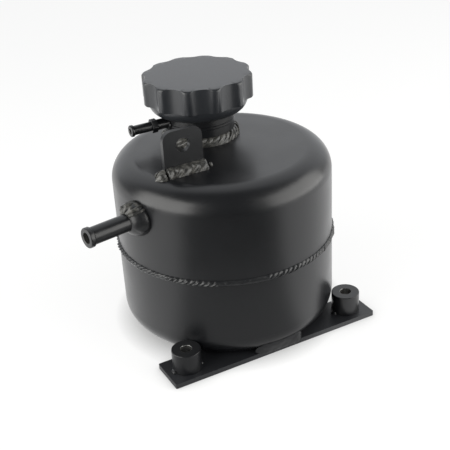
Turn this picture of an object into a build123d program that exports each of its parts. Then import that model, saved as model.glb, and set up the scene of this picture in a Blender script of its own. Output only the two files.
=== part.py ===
from build123d import *
import math
import os

# Coolant expansion tank: two spun aluminium cups butt-welded at mid height, a turned
# filler neck with a screwed pressure cap, three hose spigots, a bolted base strip
# and a steadying tab. Millimetres, +Z up. The origin is midway between the two base
# bolts, on the underside of the base strip.

# Tank body
tank_radius = 65.0
upper_depth = 54.5
lower_depth = 52.0
shoulder_radius = 14.0
foot_radius = 13.0
wall = 2.5
tank_overhang = 4.15      # the tank's front stands this far ahead of the strip's front edge

# Base strip and its bosses
strip_width = 23.5
strip_end = 13.0          # from a bolt's axis to the strip's end
strip_thickness = 3.0
strip_corner = 2.0
bolt_hole_radius = 3.3
boss_wall = 5.2
boss_height = 12.8
boss_gap = 0.228          # between a boss and the tank's wall
boss_edge = 0.7
boss_countersink = 0.9

# Filler neck
neck_bore = 17.0
neck_wall = 3.2
neck_height = 32.0        # from the tank's top face to the sealing rim
neck_margin = 1.5         # flat left between the neck's weld and the tank's shoulder
collar_step = 0.6
thread_depth = 1.2
thread_pitch = 4.0
thread_foot = 2.0
thread_crest = 0.8
thread_sink = 0.3         # a ridge reaches this far into the wall that carries it
neck_thread_start = 3.0   # above the cap's lower edge, at the middle of the ridge
neck_thread_length = 12.0
seat_width = 4.0
seat_height = 5.0         # pressure seat above the tank's top face
spigot_wall = 2.5
rim_edge = 0.6

# Clearances
weld_slip = 0.1           # a spigot in the hole that it is welded into
thread_play = 0.3         # radial play of the screw thread
seal_gap = 0.2            # a seal and the face it closes on
running_play = 0.05       # radial play of a turned fit
running_gap = 0.3         # under the cap's lower edge
slide_play = 0.3          # radial play of a loosely guided stamping
valve_play = 1.5          # radial room around the valve in the neck
coil_play = 1.8           # radial room around the pressure spring in its cup

# Screw cap
lobe_radius = 33.1
lobe_count = 12
lobe_phase = 23.0
scallop_radius = 12.0
scallop_depth = 2.9
cap_height = 22.5
skirt_height = 7.8
skirt_wall = 1.5
skirt_step = 0.1          # the skirt's upper edge inside the bottom of a scallop
skirt_bulge = 1.4
cap_roof = 4.0
cap_round = 1.5
cap_thread_length = 8.0
gasket_thickness = 2.0
hub_wall = 4.0
hub_drop = 2.8
stud_radius = 3.0
stud_head_lip = 2.5
stud_head = 1.5
stud_grip = 2.5           # depth of the stud in the cap's roof

# Valve cartridge
cup_flange = 1.5
cup_flange_lip = 1.0
cup_wall = 1.2
cup_lip = 1.8
cup_window_count = 4
cup_window_width = 7.0
cup_window_height = 9.0
cup_window_lift = 6.0     # window's lower edge above the cup's lower edge
plate_disc = 1.5
plate_bore = 5.5
plate_flange = 1.0
valve_travel = 2.5
gasket_margin = 0.7       # the gasket stands out this far around the plate
seal_thickness = 1.5
retainer_lip = 4.0
retainer_thickness = 1.0
retainer_web = 2.0
retainer_wall = 1.2
retainer_port_count = 4
retainer_port_radius = 0.7
retainer_port_circle = 3.0
pressure_wire = 2.0
pressure_pitch = 2.82
poppet_radius = 5.5
poppet_thickness = 1.2
stem_radius = 1.5
stem_proud = 0.8
clip_radius = 3.2
clip_thickness = 0.8
vacuum_wire = 0.4
vacuum_coil = 2.5
vacuum_pitch = 0.7
vacuum_length = 4.7
spring_seat_gap = 0.05

# Hose spigots
bead_step = 0.3           # slope at the back of a hose bead

# Vent spigot, high on the left of the tank
vent_angle = 190.0
vent_rise = 32.9          # above the seam
vent_aside = 5.5          # the vent's centre line passes this far ahead of the tank's axis
vent_radius = 5.05
vent_wall = 1.7
vent_tube = 27.8          # from the bung's face to the tip
vent_bead_height = 0.8
vent_bead_length = 3.2
vent_weld_leg = 1.9       # around the tube on the bung's face
bung_wall = 2.95
bung_stand = 5.5
bung_edge = 0.8
bung_socket = 5.0

# Outlet spigot, low at the back of the tank
outlet_angle = 90.0
outlet_drop = 27.0        # below the seam
outlet_radius = 9.5
outlet_wall = 2.0
outlet_tube = 32.0        # from the tank's wall to the tip
outlet_bead_height = 1.1
outlet_bead_length = 4.0

# Overflow spigot on the neck
overflow_radius = 2.8
overflow_wall = 1.1
overflow_tube = 13.1      # from the hexagon to the tip
overflow_bead_height = 0.7
overflow_bead_length = 2.2
overflow_boss_wall = 0.8
overflow_boss_stand = 7.8
overflow_gap = 0.5        # between the overflow boss and the cap's lower edge
hex_across_flats = 7.4
hex_thickness = 3.6
shank_wall = 0.7
shank_floor = 2.2         # metal left between the shank's end and the collar

# Steadying tab on the top face
tab_width = 24.0
tab_height = 25.5
tab_thickness = 3.0
tab_corner = 5.5
tab_inset = 17.8          # tab's centre inside the edge of the flat top
tab_clear = 20.9          # tab's front face ahead of the neck's weld
tab_hole_radius = 4.2
tab_hole_height = 16.3

# Weld beads
seam_width = 5.0
seam_crown = 1.8
neck_weld_leg = 3.5
neck_weld_rise = 5.2      # up the collar
tab_weld_leg = 5.0
tab_weld_lead = 5.0       # past the tab's left edge
tab_weld_overrun = 2.0    # past its right edge
tab_weld_rear_leg = 2.6
spigot_weld_leg = 2.4
overflow_weld_leg = 1.4
tack_angle = 34.0
tack_leg = 1.6
weld_bulge = 0.62         # middle of a fillet bead, as a share of its leg
base_weld_length = 32.0
base_weld_radius = 3.4
base_weld_inset = 1.6     # bead's centre behind the strip's front edge
base_weld_lift = 1.9      # and above the strip
base_weld_rear_length = 66.0
base_weld_rear_leg = 2.4

# Radii that follow from the sizes above
boss_radius = bolt_hole_radius + boss_wall
throat_bore = neck_bore - seat_width
spigot_radius = throat_bore + spigot_wall
thread_root = neck_bore + neck_wall
collar_radius = thread_root + collar_step
cap_bore = thread_root + thread_depth + thread_play
skirt_radius = cap_bore + skirt_wall
skirt_shoulder = lobe_radius - scallop_depth - skirt_step
hub_radius = stud_radius + hub_wall
stud_head_radius = stud_radius + stud_head_lip
cup_flange_radius = neck_bore - valve_play
cup_radius = cup_flange_radius - cup_flange_lip
cup_inside = cup_radius - cup_wall
cup_lip_radius = cup_inside - cup_lip
gasket_radius = neck_bore - valve_play
plate_flange_radius = gasket_radius - gasket_margin
retainer_radius = plate_bore + retainer_lip
pressure_coil = cup_inside - coil_play - pressure_wire / 2
bung_radius = vent_radius + bung_wall
overflow_bore = overflow_radius - overflow_wall
shank_radius = overflow_bore + shank_wall
overflow_boss_radius = shank_radius + overflow_boss_wall

# Places that follow from the sizes above
tank_floor = strip_thickness
seam_z = tank_floor + lower_depth
tank_top = seam_z + upper_depth
tank_y = tank_radius - strip_width / 2 - tank_overhang
neck_y = tank_y + tank_radius - shoulder_radius - neck_margin - neck_weld_leg - collar_radius
bolt_pitch = 2 * math.sqrt((tank_radius + boss_radius + boss_gap) ** 2 - tank_y ** 2)
strip_length = bolt_pitch + 2 * strip_end
rim_z = tank_top + neck_height
seat_z = tank_top + seat_height
roof_z = rim_z + seal_gap + gasket_thickness
cap_top = roof_z + cap_roof
cap_bottom = cap_top - cap_height
lobe_bottom = cap_bottom + skirt_height
neck_thread_z = cap_bottom + neck_thread_start
overflow_z = cap_bottom - overflow_gap - overflow_boss_radius
overflow_face = collar_radius + overflow_boss_stand
shank_end = collar_radius + shank_floor
hex_face = overflow_face + hex_thickness
vent_z = seam_z + vent_rise
bung_face = tank_radius + bung_stand
outlet_z = seam_z - outlet_drop
tab_x = -(tank_radius - shoulder_radius - tab_inset)
tab_face_y = neck_y - collar_radius - neck_weld_leg - tab_clear

# Heights in the valve, from the pressure seat up
gasket_z = seat_z + seal_gap
retainer_z = gasket_z - retainer_thickness
web_z = retainer_z + retainer_web
plate_z = gasket_z + seal_thickness
cup_foot = plate_z + plate_flange + valve_travel + slide_play
disc_z = cup_foot + cup_wall + slide_play
poppet_z = retainer_z - seal_gap - poppet_thickness
clip_z = web_z + vacuum_length
stem_top = clip_z + clip_thickness + stem_proud
hub_z = roof_z - hub_drop
cup_top = hub_z - seal_gap
cup_ceiling = cup_top - cup_flange
stud_head_z = cup_ceiling - seal_gap

up = Vector(0, 0, 1)
tank_centre = Vector(0, tank_y, 0)
neck_centre = Vector(0, neck_y, 0)
tank_axis = Axis((0, tank_y, 0), (0, 0, 1))
neck_axis = Axis((0, neck_y, 0), (0, 0, 1))
tank_section = Plane((0, tank_y, 0), x_dir=(1, 0, 0), z_dir=(0, -1, 0))
neck_section = Plane((0, neck_y, 0), x_dir=(1, 0, 0), z_dir=(0, -1, 0))

os.makedirs("parts", exist_ok=True)


def save(piece, name):
    """Label a finished piece and write it to its own file."""
    piece.part.label = name
    export_step(piece.part, f"parts/{name}.step")


def tank_plane(z):
    """Horizontal plane centred on the tank's axis."""
    return Plane((0, tank_y, z))


def neck_plane(z):
    """Horizontal plane centred on the filler neck's axis."""
    return Plane((0, neck_y, z))


def outward(angle):
    """Level direction at an angle from the strip's right-hand end."""
    return Vector(math.cos(math.radians(angle)), math.sin(math.radians(angle)), 0)


vent_centre = tank_centre + outward(vent_angle + 90) * vent_aside


def spigot_plane(angle, z, reach, centre=tank_centre):
    """Plane that faces outwards, at a distance from an upright axis."""
    return Plane(centre + up * z + outward(angle) * reach, x_dir=up, z_dir=outward(angle))


def spigot_section(angle, z, centre=tank_centre):
    """Upright plane through a radial spigot, with its x along the spigot."""
    out = outward(angle)
    return Plane(centre + up * z, x_dir=out, z_dir=out.cross(up))


def spigot_axis(angle, z, centre=tank_centre):
    """Centre line of a radial spigot."""
    return Axis(centre + up * z, outward(angle))


def cup_outline(rim, face, corner):
    """Half section of a spun cup, from its open rim to its flat face."""
    inward = wall if face < rim else -wall
    skin = FilletPolyline((0, face), (tank_radius, face), (tank_radius, rim), radius=corner)
    lining = FilletPolyline(
        (0, face + inward), (tank_radius - wall, face + inward), (tank_radius - wall, rim),
        radius=corner - wall)
    Line(skin @ 0, lining @ 0)
    Line(skin @ 1, lining @ 1)


def barb_outline(start, reach, radius, tube_wall, bead_height, bead_length):
    """Half section of a hose spigot that ends in a bead with a chamfered nose."""
    bore = radius - tube_wall
    bead_radius = radius + bead_height
    nose = (bead_radius - bore) / 4
    Polyline(
        (start, bore), (start, radius), (reach - bead_length, radius),
        (reach - bead_length + bead_step, bead_radius), (reach - nose, bead_radius),
        (reach, bead_radius - nose), (reach, bore), close=True)


def spigot_weld_outline(radius):
    """Half section of the fillet weld around a spigot's foot on the tank's wall."""
    Polyline(
        (tank_radius - 2 * wall, radius), (tank_radius - 2 * wall, radius + spigot_weld_leg),
        (tank_radius, radius + spigot_weld_leg), (tank_radius + spigot_weld_leg, radius), close=True)


def thread_ridge(radius, height, start, length):
    """Helical ridge on a cylinder; a negative height makes an inside thread."""
    with BuildLine():
        path = Helix(thread_pitch, length, radius, center=(0, neck_y, start))
    sink = -thread_sink if height > 0 else thread_sink
    with BuildSketch(Plane(path @ 0, x_dir=(1, 0, 0), z_dir=path % 0)) as ridge:
        with BuildLine():
            Polyline((sink, -thread_foot / 2), (height, -thread_crest / 2),
                     (height, thread_crest / 2), (sink, thread_foot / 2), close=True)
        make_face()
    sweep(sections=ridge.sketch, path=path, is_frenet=True)


def coil(bottom, top, coil_radius, wire, pitch):
    """Round-wire spring on the neck's axis, between two faces."""
    low = bottom + wire / 2 + spring_seat_gap
    rise = top - bottom - wire - 2 * spring_seat_gap
    with BuildLine():
        path = Helix(pitch, rise, coil_radius, center=(0, neck_y, low))
    with BuildSketch(Plane(path @ 0, x_dir=(1, 0, 0), z_dir=path % 0)) as section:
        Circle(wire / 2)
    sweep(sections=section.sketch, path=path, is_frenet=True)


# Whole space of the tank, taken away from what is welded to its outside
with BuildPart() as tank_body:
    with BuildSketch(tank_plane(tank_floor)):
        Circle(tank_radius)
    extrude(amount=tank_top - tank_floor)
    fillet(tank_body.edges().group_by(Axis.Z)[0], foot_radius)
    fillet(tank_body.edges().group_by(Axis.Z)[-1], shoulder_radius)

# Whole space of the neck, taken away from the overflow boss and its weld
with BuildPart() as neck_body:
    with BuildSketch(neck_plane(tank_top)):
        Circle(collar_radius)
    extrude(amount=cap_bottom - tank_top)
    with BuildSketch(neck_plane(tank_top)):
        Circle(thread_root)
    extrude(amount=neck_height)


# Tank body: the upper cup, with the neck and vent holes
with BuildPart() as upper_shell:
    with BuildSketch(tank_section):
        with BuildLine():
            cup_outline(seam_z, tank_top, shoulder_radius)
        make_face()
    revolve(axis=tank_axis)
    with BuildSketch(neck_plane(tank_top)):
        Circle(spigot_radius + weld_slip)
    extrude(amount=-wall, mode=Mode.SUBTRACT)
    with BuildSketch(spigot_plane(vent_angle, vent_z, tank_radius - 2 * wall, vent_centre)):
        Circle(vent_radius - vent_wall)
    extrude(amount=3 * wall, mode=Mode.SUBTRACT)
save(upper_shell, "upper_shell")

# The lower cup, with the outlet hole
with BuildPart() as lower_shell:
    with BuildSketch(tank_section):
        with BuildLine():
            cup_outline(seam_z, tank_floor, foot_radius)
        make_face()
    revolve(axis=tank_axis)
    with BuildSketch(spigot_plane(outlet_angle, outlet_z, tank_radius - 3 * wall)):
        Circle(outlet_radius + weld_slip)
    extrude(amount=4 * wall, mode=Mode.SUBTRACT)
save(lower_shell, "lower_shell")

# Bead that joins the two cups
with BuildPart() as seam_weld:
    with BuildSketch(tank_section):
        with BuildLine():
            foot = Line((tank_radius, seam_z - seam_width / 2), (tank_radius, seam_z + seam_width / 2))
            ThreePointArc(foot @ 0, (tank_radius + seam_crown, seam_z), foot @ 1)
        make_face()
    revolve(axis=tank_axis)
save(seam_weld, "seam_weld")

# Base strip, under the front of the tank
with BuildPart() as base_strip:
    with BuildSketch():
        RectangleRounded(strip_length, strip_width, strip_corner)
        with GridLocations(bolt_pitch, 0, 2, 1):
            Circle(bolt_hole_radius, mode=Mode.SUBTRACT)
    extrude(amount=strip_thickness)
save(base_strip, "base_strip")

# Two turned bosses on the strip, with a hole for the bolt
for name, side in (("boss_left", -1), ("boss_right", 1)):
    with BuildPart() as boss:
        with BuildSketch(Plane((side * bolt_pitch / 2, 0, strip_thickness))):
            Circle(boss_radius)
            Circle(bolt_hole_radius, mode=Mode.SUBTRACT)
        extrude(amount=boss_height)
        rims = boss.edges().group_by(Axis.Z)[-1].sort_by(SortBy.LENGTH)
        chamfer(rims[0], boss_countersink)
        fillet(rims[-1], boss_edge)
    save(boss, name)

# Tack welds on the two sides of each boss
with BuildPart() as boss_welds:
    for centre in (-bolt_pitch / 2, bolt_pitch / 2):
        for heading in (0, 180):
            start = Vector(1, 0, 0).rotate(Axis.Z, heading - tack_angle / 2)
            with BuildSketch(Plane((centre, 0, strip_thickness), x_dir=start, z_dir=start.cross(up))):
                with BuildLine():
                    Polyline((boss_radius, 0), (boss_radius + tack_leg, 0), (boss_radius, tack_leg),
                             close=True)
                make_face()
            revolve(axis=Axis((centre, 0, 0), up), revolution_arc=tack_angle)
save(boss_welds, "boss_welds")

# Bead over the strip's front edge, up to the tank's rounded corner, and a fillet behind
with BuildPart() as base_weld:
    with BuildSketch(Plane((-base_weld_length / 2, base_weld_inset - strip_width / 2,
                            strip_thickness + base_weld_lift), x_dir=(0, 1, 0), z_dir=(1, 0, 0))):
        Circle(base_weld_radius)
    extrude(amount=base_weld_length)
    add(tank_body.part, mode=Mode.SUBTRACT)
    with BuildSketch():
        Rectangle(strip_length, strip_width)
    extrude(amount=strip_thickness, mode=Mode.SUBTRACT)
    with BuildSketch(Plane((-base_weld_rear_length / 2, strip_width / 2, strip_thickness),
                           x_dir=(0, 1, 0), z_dir=(1, 0, 0))):
        with BuildLine():
            Polyline((0, 0), (base_weld_rear_leg, 0), (0, -base_weld_rear_leg), close=True)
        make_face()
    extrude(amount=base_weld_rear_length)
save(base_weld, "base_weld")

# Filler neck: a collar that stands on the tank, a spigot in its hole, a pressure seat
# half way up the bore and an outside thread
with BuildPart() as filler_neck:
    with BuildSketch(neck_section):
        with BuildLine():
            Polyline(
                (throat_bore, tank_top - wall), (throat_bore, seat_z), (neck_bore, seat_z),
                (neck_bore, rim_z), (thread_root - rim_edge, rim_z), (thread_root, rim_z - rim_edge),
                (thread_root, cap_bottom), (collar_radius, cap_bottom), (collar_radius, tank_top),
                (spigot_radius, tank_top), (spigot_radius, tank_top - wall), close=True)
        make_face()
    revolve(axis=neck_axis)
    thread_ridge(thread_root, thread_depth, neck_thread_z, neck_thread_length)
    with BuildSketch(spigot_plane(180, overflow_z, neck_bore - wall, neck_centre)):
        Circle(overflow_bore)
    extrude(amount=2 * wall + thread_root - neck_bore, mode=Mode.SUBTRACT)
save(filler_neck, "filler_neck")

# Fillet weld around the collar's foot
with BuildPart() as neck_weld:
    with BuildSketch(neck_section):
        with BuildLine():
            foot = Polyline((collar_radius, tank_top + neck_weld_rise), (collar_radius, tank_top),
                            (collar_radius + neck_weld_leg, tank_top))
            ThreePointArc(foot @ 0, (collar_radius + weld_bulge * neck_weld_leg,
                                     tank_top + weld_bulge * neck_weld_rise), foot @ 1)
        make_face()
    revolve(axis=neck_axis)
save(neck_weld, "neck_weld")

# Overflow boss on the neck's left side, with its weld and the screwed-in spigot
with BuildPart() as overflow_boss:
    with BuildSketch(spigot_section(180, overflow_z, neck_centre)):
        with BuildLine():
            Polyline(
                (neck_bore, overflow_bore), (neck_bore, overflow_boss_radius),
                (overflow_face, overflow_boss_radius), (overflow_face, shank_radius),
                (shank_end, shank_radius), (shank_end, overflow_bore), close=True)
        make_face()
    revolve(axis=spigot_axis(180, overflow_z, neck_centre))
    add(neck_body.part, mode=Mode.SUBTRACT)
save(overflow_boss, "overflow_boss")

with BuildPart() as overflow_weld:
    with BuildSketch(spigot_section(180, overflow_z, neck_centre)):
        with BuildLine():
            Polyline(
                (neck_bore, overflow_boss_radius),
                (neck_bore, overflow_boss_radius + overflow_weld_leg),
                (collar_radius, overflow_boss_radius + overflow_weld_leg),
                (collar_radius + overflow_weld_leg, overflow_boss_radius), close=True)
        make_face()
    revolve(axis=spigot_axis(180, overflow_z, neck_centre))
    add(neck_body.part, mode=Mode.SUBTRACT)
    with BuildSketch(neck_plane(cap_bottom - running_gap)):
        Circle(lobe_radius)
    extrude(amount=cap_height, mode=Mode.SUBTRACT)
save(overflow_weld, "overflow_weld")

with BuildPart() as overflow_barb:
    with BuildSketch(spigot_section(180, overflow_z, neck_centre)):
        with BuildLine():
            barb_outline(hex_face, hex_face + overflow_tube, overflow_radius, overflow_wall,
                         overflow_bead_height, overflow_bead_length)
        make_face()
        with BuildLine():
            Polyline((shank_end, overflow_bore), (shank_end, shank_radius),
                     (hex_face, shank_radius), (hex_face, overflow_bore), close=True)
        make_face()
    revolve(axis=spigot_axis(180, overflow_z, neck_centre))
    with BuildSketch(spigot_plane(180, overflow_z, overflow_face, neck_centre)):
        RegularPolygon(hex_across_flats / 2, 6, major_radius=False)
        Circle(overflow_bore, mode=Mode.SUBTRACT)
    extrude(amount=hex_thickness)
save(overflow_barb, "overflow_barb")

# Vent bung on the tank's left wall, its weld and its spigot
with BuildPart() as vent_bung:
    with BuildSketch(spigot_section(vent_angle, vent_z, vent_centre)):
        with BuildLine():
            Polyline(
                (tank_radius - 2 * wall, vent_radius - vent_wall), (tank_radius - 2 * wall, bung_radius),
                (bung_face - bung_edge, bung_radius), (bung_face, bung_radius - bung_edge),
                (bung_face, vent_radius), (bung_face - bung_socket, vent_radius),
                (bung_face - bung_socket, vent_radius - vent_wall), close=True)
        make_face()
    revolve(axis=spigot_axis(vent_angle, vent_z, vent_centre))
    add(tank_body.part, mode=Mode.SUBTRACT)
save(vent_bung, "vent_bung")

with BuildPart() as vent_weld:
    with BuildSketch(spigot_section(vent_angle, vent_z, vent_centre)):
        with BuildLine():
            spigot_weld_outline(bung_radius)
        make_face()
        with BuildLine():
            Polyline((bung_face, vent_radius), (bung_face, vent_radius + vent_weld_leg),
                     (bung_face + vent_weld_leg, vent_radius), close=True)
        make_face()
    revolve(axis=spigot_axis(vent_angle, vent_z, vent_centre))
    add(tank_body.part, mode=Mode.SUBTRACT)
save(vent_weld, "vent_weld")

with BuildPart() as vent_barb:
    with BuildSketch(spigot_section(vent_angle, vent_z, vent_centre)):
        with BuildLine():
            barb_outline(bung_face - bung_socket, bung_face + vent_tube, vent_radius, vent_wall,
                         vent_bead_height, vent_bead_length)
        make_face()
    revolve(axis=spigot_axis(vent_angle, vent_z, vent_centre))
save(vent_barb, "vent_barb")

# Outlet spigot, welded straight into the lower cup
with BuildPart() as outlet_pipe:
    with BuildSketch(spigot_section(outlet_angle, outlet_z)):
        with BuildLine():
            barb_outline(tank_radius - 2 * wall, tank_radius + outlet_tube, outlet_radius, outlet_wall,
                         outlet_bead_height, outlet_bead_length)
        make_face()
    revolve(axis=spigot_axis(outlet_angle, outlet_z))
save(outlet_pipe, "outlet_pipe")

with BuildPart() as outlet_weld:
    with BuildSketch(spigot_section(outlet_angle, outlet_z)):
        with BuildLine():
            spigot_weld_outline(outlet_radius)
        make_face()
    revolve(axis=spigot_axis(outlet_angle, outlet_z))
    add(tank_body.part, mode=Mode.SUBTRACT)
save(outlet_weld, "outlet_weld")

# Steadying tab, upright on the top face
with BuildPart() as mounting_tab:
    with BuildSketch(Plane((tab_x, tab_face_y, tank_top), x_dir=(1, 0, 0), z_dir=(0, -1, 0))):
        with BuildLine():
            tab_edge = FilletPolyline(
                (-tab_width / 2, 0), (-tab_width / 2, tab_height), (tab_width / 2, tab_height),
                (tab_width / 2, 0), radius=tab_corner)
            Line(tab_edge @ 1, tab_edge @ 0)
        make_face()
        with Locations((0, tab_hole_height)):
            Circle(tab_hole_radius, mode=Mode.SUBTRACT)
    extrude(amount=-tab_thickness)
save(mounting_tab, "mounting_tab")

# Its weld: a heavy bead in front and a lighter one behind
with BuildPart() as tab_weld:
    for y, leg, front in ((tab_face_y, tab_weld_leg, -1), (tab_face_y + tab_thickness, tab_weld_rear_leg, 1)):
        length = tab_weld_lead + tab_width + tab_weld_overrun
        middle = tab_x + (tab_weld_overrun - tab_weld_lead) / 2
        with BuildSketch(Plane((middle - front * length / 2, y, tank_top), x_dir=(0, front, 0),
                               z_dir=(front, 0, 0))):
            with BuildLine():
                foot = Polyline((0, leg), (0, -wall), (leg, -wall), (leg, 0))
                ThreePointArc(foot @ 0, (weld_bulge * leg, weld_bulge * leg), foot @ 1)
            make_face()
        extrude(amount=length)
    add(tank_body.part, mode=Mode.SUBTRACT)
save(tab_weld, "tab_weld")

# Screw cap: scalloped grip, tapered skirt, inside thread and a hub for the valve
with BuildPart() as filler_cap:
    with BuildSketch(neck_section):
        with BuildLine():
            crown = FilletPolyline((0, cap_top), (lobe_radius, cap_top), (lobe_radius, lobe_bottom),
                                   radius=cap_round)
            Line(crown @ 1, (skirt_shoulder, lobe_bottom))
            ThreePointArc(
                (skirt_shoulder, lobe_bottom),
                ((skirt_shoulder + skirt_radius) / 2 + skirt_bulge,
                 (lobe_bottom + cap_bottom) / 2 - skirt_bulge),
                (skirt_radius, cap_bottom))
            Polyline(
                (skirt_radius, cap_bottom), (cap_bore, cap_bottom), (cap_bore, roof_z),
                (hub_radius, roof_z), (hub_radius, hub_z), (stud_radius, hub_z),
                (stud_radius, roof_z + stud_grip), (0, roof_z + stud_grip), (0, cap_top))
        make_face()
    revolve(axis=neck_axis)
    with BuildSketch(neck_plane(lobe_bottom)):
        with PolarLocations(lobe_radius - scallop_depth + scallop_radius, lobe_count,
                            lobe_phase + 180 / lobe_count):
            Circle(scallop_radius)
    extrude(amount=cap_top - lobe_bottom, mode=Mode.SUBTRACT)
    thread_ridge(cap_bore, -thread_depth, neck_thread_z + thread_pitch / 2, cap_thread_length)
save(filler_cap, "filler_cap")

# Gasket between the cap's roof and the neck's rim
with BuildPart() as cap_gasket:
    with BuildSketch(neck_plane(roof_z)):
        Circle(cap_bore - seal_gap)
        Circle(neck_bore + seal_gap, mode=Mode.SUBTRACT)
    extrude(amount=-gasket_thickness)
save(cap_gasket, "cap_gasket")

# Stud that the valve cup swivels on
with BuildPart() as swivel_stud:
    with BuildSketch(neck_plane(roof_z + stud_grip)):
        Circle(stud_radius)
    extrude(amount=-(roof_z + stud_grip - stud_head_z))
    with BuildSketch(neck_plane(stud_head_z)):
        Circle(stud_head_radius)
    extrude(amount=-stud_head)
save(swivel_stud, "swivel_stud")

# Valve cup: a flanged bell with windows and a lip crimped in under the pressure plate
with BuildPart() as valve_cup:
    with BuildSketch(neck_section):
        with BuildLine():
            Polyline(
                (stud_radius + running_play, cup_top), (cup_flange_radius, cup_top),
                (cup_flange_radius, cup_ceiling), (cup_radius, cup_ceiling), (cup_radius, cup_foot),
                (cup_lip_radius, cup_foot), (cup_lip_radius, cup_foot + cup_wall),
                (cup_inside, cup_foot + cup_wall), (cup_inside, cup_ceiling),
                (stud_radius + running_play, cup_ceiling), close=True)
        make_face()
    revolve(axis=neck_axis)
    for window in range(cup_window_count):
        heading = 360 / cup_window_count * (window + 0.5)
        with BuildSketch(spigot_plane(heading, cup_foot + cup_window_lift + cup_window_height / 2,
                                      cup_radius - 2 * cup_wall, neck_centre)):
            SlotOverall(cup_window_height, cup_window_width)
        extrude(amount=3 * cup_wall, mode=Mode.SUBTRACT)
save(valve_cup, "valve_cup")

# Pressure plate, its gasket and the hollow retainer pressed up through both
with BuildPart() as pressure_plate:
    with BuildSketch(neck_section):
        with BuildLine():
            Polyline(
                (plate_bore, plate_z), (plate_flange_radius, plate_z),
                (plate_flange_radius, plate_z + plate_flange),
                (cup_lip_radius - slide_play, plate_z + plate_flange),
                (cup_lip_radius - slide_play, disc_z), (cup_inside - slide_play, disc_z),
                (cup_inside - slide_play, disc_z + plate_disc),
                (plate_bore, disc_z + plate_disc), close=True)
        make_face()
    revolve(axis=neck_axis)
save(pressure_plate, "pressure_plate")

with BuildPart() as pressure_gasket:
    with BuildSketch(neck_plane(gasket_z)):
        Circle(gasket_radius)
        Circle(plate_bore, mode=Mode.SUBTRACT)
    extrude(amount=seal_thickness)
save(pressure_gasket, "pressure_gasket")

with BuildPart() as seal_retainer:
    with BuildSketch(neck_section):
        with BuildLine():
            Polyline(
                (stem_radius + running_play, retainer_z), (retainer_radius, retainer_z),
                (retainer_radius, gasket_z), (plate_bore, gasket_z),
                (plate_bore, disc_z + plate_disc), (plate_bore - retainer_wall, disc_z + plate_disc),
                (plate_bore - retainer_wall, web_z), (stem_radius + running_play, web_z), close=True)
        make_face()
    revolve(axis=neck_axis)
    with BuildSketch(neck_plane(retainer_z)):
        with PolarLocations(retainer_port_circle, retainer_port_count):
            Circle(retainer_port_radius)
    extrude(amount=retainer_web, mode=Mode.SUBTRACT)
save(seal_retainer, "seal_retainer")

with BuildPart() as pressure_spring:
    coil(disc_z + plate_disc, cup_ceiling, pressure_coil, pressure_wire, pressure_pitch)
save(pressure_spring, "pressure_spring")

# Vacuum valve: a poppet under the retainer, on a stem with its clip and light spring
with BuildPart() as vacuum_poppet:
    with BuildSketch(neck_section):
        with BuildLine():
            Polyline(
                (0, poppet_z), (poppet_radius, poppet_z), (poppet_radius, poppet_z + poppet_thickness),
                (stem_radius, poppet_z + poppet_thickness), (stem_radius, stem_top), (0, stem_top),
                close=True)
        make_face()
    revolve(axis=neck_axis)
save(vacuum_poppet, "vacuum_poppet")

with BuildPart() as vacuum_clip:
    with BuildSketch(neck_plane(clip_z)):
        Circle(clip_radius)
        Circle(stem_radius, mode=Mode.SUBTRACT)
    extrude(amount=clip_thickness)
save(vacuum_clip, "vacuum_clip")

with BuildPart() as vacuum_spring:
    coil(web_z, clip_z, vacuum_coil, vacuum_wire, vacuum_pitch)
save(vacuum_spring, "vacuum_spring")
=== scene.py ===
import math
import random

import bmesh
import bpy
from mathutils import Matrix, Vector, noise


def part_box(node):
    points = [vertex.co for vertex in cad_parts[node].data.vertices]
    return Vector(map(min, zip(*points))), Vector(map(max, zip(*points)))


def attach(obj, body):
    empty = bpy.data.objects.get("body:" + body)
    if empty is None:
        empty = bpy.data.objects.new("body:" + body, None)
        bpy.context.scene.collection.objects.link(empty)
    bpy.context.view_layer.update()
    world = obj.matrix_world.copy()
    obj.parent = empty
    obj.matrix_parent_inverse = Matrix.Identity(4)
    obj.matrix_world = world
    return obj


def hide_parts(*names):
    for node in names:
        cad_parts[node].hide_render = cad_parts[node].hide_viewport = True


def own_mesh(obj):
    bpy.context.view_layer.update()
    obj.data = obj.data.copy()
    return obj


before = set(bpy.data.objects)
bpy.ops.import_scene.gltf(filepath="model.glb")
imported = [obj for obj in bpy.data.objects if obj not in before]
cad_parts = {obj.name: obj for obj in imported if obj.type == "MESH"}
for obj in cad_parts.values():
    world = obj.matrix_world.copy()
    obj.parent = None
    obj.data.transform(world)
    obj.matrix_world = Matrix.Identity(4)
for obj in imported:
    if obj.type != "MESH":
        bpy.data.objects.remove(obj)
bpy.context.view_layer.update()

# Welded aluminium coolant tank with a black coat. The dictionaries are in millimetres and degrees.

mm = 0.001


def nodeBox(name):
    low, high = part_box(name)
    return low / mm, high / mm


# Places read from the frame
shellLow, shellHigh = nodeBox("lower_shell")
neckLow, neckHigh = nodeBox("filler_neck")
capLow, capHigh = nodeBox("filler_cap")
tankTop = nodeBox("upper_shell")[1].z
tankRadius = (shellHigh.x - shellLow.x) / 2
seamHeight = shellHigh.z
tankAxis = Vector(((shellLow.x + shellHigh.x) / 2, (shellLow.y + shellHigh.y) / 2, 0))
neckAxis = Vector(((neckLow.x + neckHigh.x) / 2, (neckLow.y + neckHigh.y) / 2, 0))
shoulder = 14.0
upward = Vector((0, 0, 1))
print("frame read:", len(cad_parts), "nodes")


def outward(angle):
    return Vector((math.cos(math.radians(angle)), math.sin(math.radians(angle)), 0))


# Materials

def hexColor(code):
    channels = [int(code[i:i + 2], 16) / 255 for i in (1, 3, 5)]
    linear = [c / 12.92 if c <= 0.04045 else ((c + 0.055) / 1.055) ** 2.4 for c in channels]
    return (*linear, 1.0)


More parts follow.
